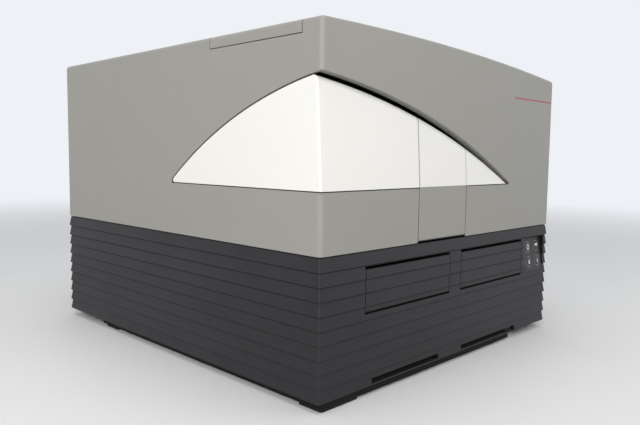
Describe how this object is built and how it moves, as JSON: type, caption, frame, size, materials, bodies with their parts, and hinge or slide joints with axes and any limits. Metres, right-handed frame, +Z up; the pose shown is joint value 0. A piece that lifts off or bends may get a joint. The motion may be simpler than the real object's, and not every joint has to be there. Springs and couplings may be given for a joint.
{
  "type": "microplate reader",
  "caption": "Bench-top microplate reader: ribbed black base, arched grey hood, white corner panels, fold-down plate door, service flaps and round keys.",
  "frame": {"origin": "middle of the footprint, on the bench", "axes": "+Z up, the plate door and flaps face -Y, +X to the right of someone facing them"},
  "size_m": [0.494, 0.557, 0.3904],
  "materials": {
    "hood_grey": "fine textured paint",
    "panel_white": "smooth satin",
    "shell_black": "fine grain",
    "dark_plastic": "matte",
    "pan_black": "black powder coat",
    "sheet_steel": "plain",
    "machined_aluminium": "machined",
    "anodised_black": "black anodised",
    "bright_pin": "ground",
    "foot_rubber": "matte",
    "key_black": "soft satin",
    "ring_pale": "satin",
    "window_dark": "tinted",
    "strip_red": "dull red",
    "board_green": "solder mask",
    "syringe_glass": "clear",
    "plunger_white": "plain",
    "valve_grey": "plain"
  },
  "bodies": {
    "chassis": {"top_cover": "hood_grey", "corner_panel": "panel_white", "right_panel": "panel_white", "door_pin": "bright_pin", "accent_strip": "strip_red", "lid_pin": "bright_pin", "lid_well": "dark_plastic", "base_shell": "shell_black", "left_bay": "dark_plastic", "right_bay": "dark_plastic", "left_pump_valve": "valve_grey", "right_pump_valve": "valve_grey", "left_syringe": "syringe_glass", "right_syringe": "syringe_glass", "flap_pins": "bright_pin", "key_plate": "shell_black", "key_rings": "ring_pale", "status_window": "window_dark", "key_board": "board_green", "base_pan": "pan_black", "feet": "foot_rubber", "side_frames": "sheet_steel", "deck": "machined_aluminium", "rails": "bright_pin", "screw_bearings": "machined_aluminium", "drive_motor": "anodised_black", "optics_bridge": "machined_aluminium", "head_motor": "anodised_black", "excitation_unit": "anodised_black", "emission_unit": "anodised_black", "flash_lamp": "machined_aluminium", "detector": "anodised_black", "power_supply": "sheet_steel", "main_board": "board_green", "rear_panel": "pan_black", "rear_screws": "bright_pin", "mains_inlet": "dark_plastic", "switch_frame": "dark_plastic", "data_socket": "sheet_steel", "fan_frame": "dark_plastic"},
    "carriage": {"carriage_plate": "machined_aluminium", "plate_nest": "anodised_black", "carriage_bearings": "anodised_black"},
    "door": {"door_body": "hood_grey", "door_facing": "panel_white"},
    "lead_screw": {"lead_screw": "bright_pin"},
    "left_flap": {"left_flap": "shell_black"},
    "right_flap": {"right_flap": "shell_black"},
    "roof_lid": {"roof_lid": "hood_grey"},
    "left_plunger": {"left_plunger": "plunger_white"},
    "right_plunger": {"right_plunger": "plunger_white"},
    "key_lower_left": {"key_lower_left": "key_black"},
    "key_lower_right": {"key_lower_right": "key_black"},
    "key_upper_left": {"key_upper_left": "key_black"},
    "key_upper_right": {"key_upper_right": "key_black"},
    "reading_head": {"reading_head": "anodised_black"},
    "objective": {"objective": "anodised_black"},
    "head_screw": {"head_screw": "bright_pin"},
    "fan_rotor": {"fan_rotor": "dark_plastic"},
    "power_rocker": {"power_rocker": "dark_plastic"}
  },
  "joints": [
    {"name": "carriage_slide", "type": "slide", "parent": "chassis", "child": "carriage", "axis": [0, -1, 0], "range_m": [0, 0.2]},
    {"name": "door_hinge", "type": "hinge", "parent": "chassis", "child": "door", "pos_m": [-0.03625, -0.274, 0.1633], "axis": [1, 0, 0], "range_deg": [0, 90]},
    {"name": "lead_screw_spin", "type": "hinge", "parent": "chassis", "child": "lead_screw", "pos_m": [-0.03625, 0, 0.214], "axis": [0, 1, 0], "range_deg": [0, 3600]},
    {"name": "left_flap_hinge", "type": "hinge", "parent": "chassis", "child": "left_flap", "pos_m": [-0.09675, -0.2737, 0.0953], "axis": [1, 0, 0], "range_deg": [0, 85]},
    {"name": "right_flap_hinge", "type": "hinge", "parent": "chassis", "child": "right_flap", "pos_m": [0.08825, -0.2737, 0.0953], "axis": [1, 0, 0], "range_deg": [0, 85]},
    {"name": "roof_lid_hinge", "type": "hinge", "parent": "chassis", "child": "roof_lid", "pos_m": [-0.1305, -0.17475, 0.38682], "axis": [0, 1, 0], "range_deg": [0, 100]},
    {"name": "left_plunger_slide", "type": "slide", "parent": "chassis", "child": "left_plunger", "axis": [0, 1, 0], "range_m": [0, 0.03]},
    {"name": "right_plunger_slide", "type": "slide", "parent": "chassis", "child": "right_plunger", "axis": [0, 1, 0], "range_m": [0, 0.03]},
    {"name": "key_lower_left_press", "type": "slide", "parent": "chassis", "child": "key_lower_left", "axis": [0, 0.9905, -0.1373], "range_m": [0, 0.001], "stiffness_N_per_m": 400},
    {"name": "key_lower_right_press", "type": "slide", "parent": "chassis", "child": "key_lower_right", "axis": [0, 0.9905, -0.1373], "range_m": [0, 0.001], "stiffness_N_per_m": 400},
    {"name": "key_upper_left_press", "type": "slide", "parent": "chassis", "child": "key_upper_left", "axis": [0, 0.9905, -0.1373], "range_m": [0, 0.001], "stiffness_N_per_m": 400},
    {"name": "key_upper_right_press", "type": "slide", "parent": "chassis", "child": "key_upper_right", "axis": [0, 0.9905, -0.1373], "range_m": [0, 0.001], "stiffness_N_per_m": 400},
    {"name": "head_slide", "type": "slide", "parent": "chassis", "child": "reading_head", "axis": [1, 0, 0], "range_m": [-0.034, 0.034]},
    {"name": "focus_slide", "type": "slide", "parent": "reading_head", "child": "objective", "axis": [0, 0, 1], "range_m": [-0.004, 0.004]},
    {"name": "head_screw_spin", "type": "hinge", "parent": "chassis", "child": "head_screw", "pos_m": [0, -0.12486, 0.322], "axis": [1, 0, 0], "range_deg": [-1224, 1224]},
    {"name": "fan_spin", "type": "hinge", "parent": "chassis", "child": "fan_rotor", "pos_m": [0.11, 0, 0.265], "axis": [0, 1, 0], "continuous": true},
    {"name": "power_rocker_tilt", "type": "hinge", "parent": "chassis", "child": "power_rocker", "pos_m": [-0.157, 0.2705, 0.108], "axis": [1, 0, 0], "range_deg": [-16, 0]}
  ],
  "couplings": [
    {"joint": "door_hinge", "follows": "carriage_slide", "rad_per_m": 7.85},
    {"joint": "lead_screw_spin", "follows": "carriage_slide", "rad_per_m": 314},
    {"joint": "head_screw_spin", "follows": "head_slide", "rad_per_m": 628}
  ]
}
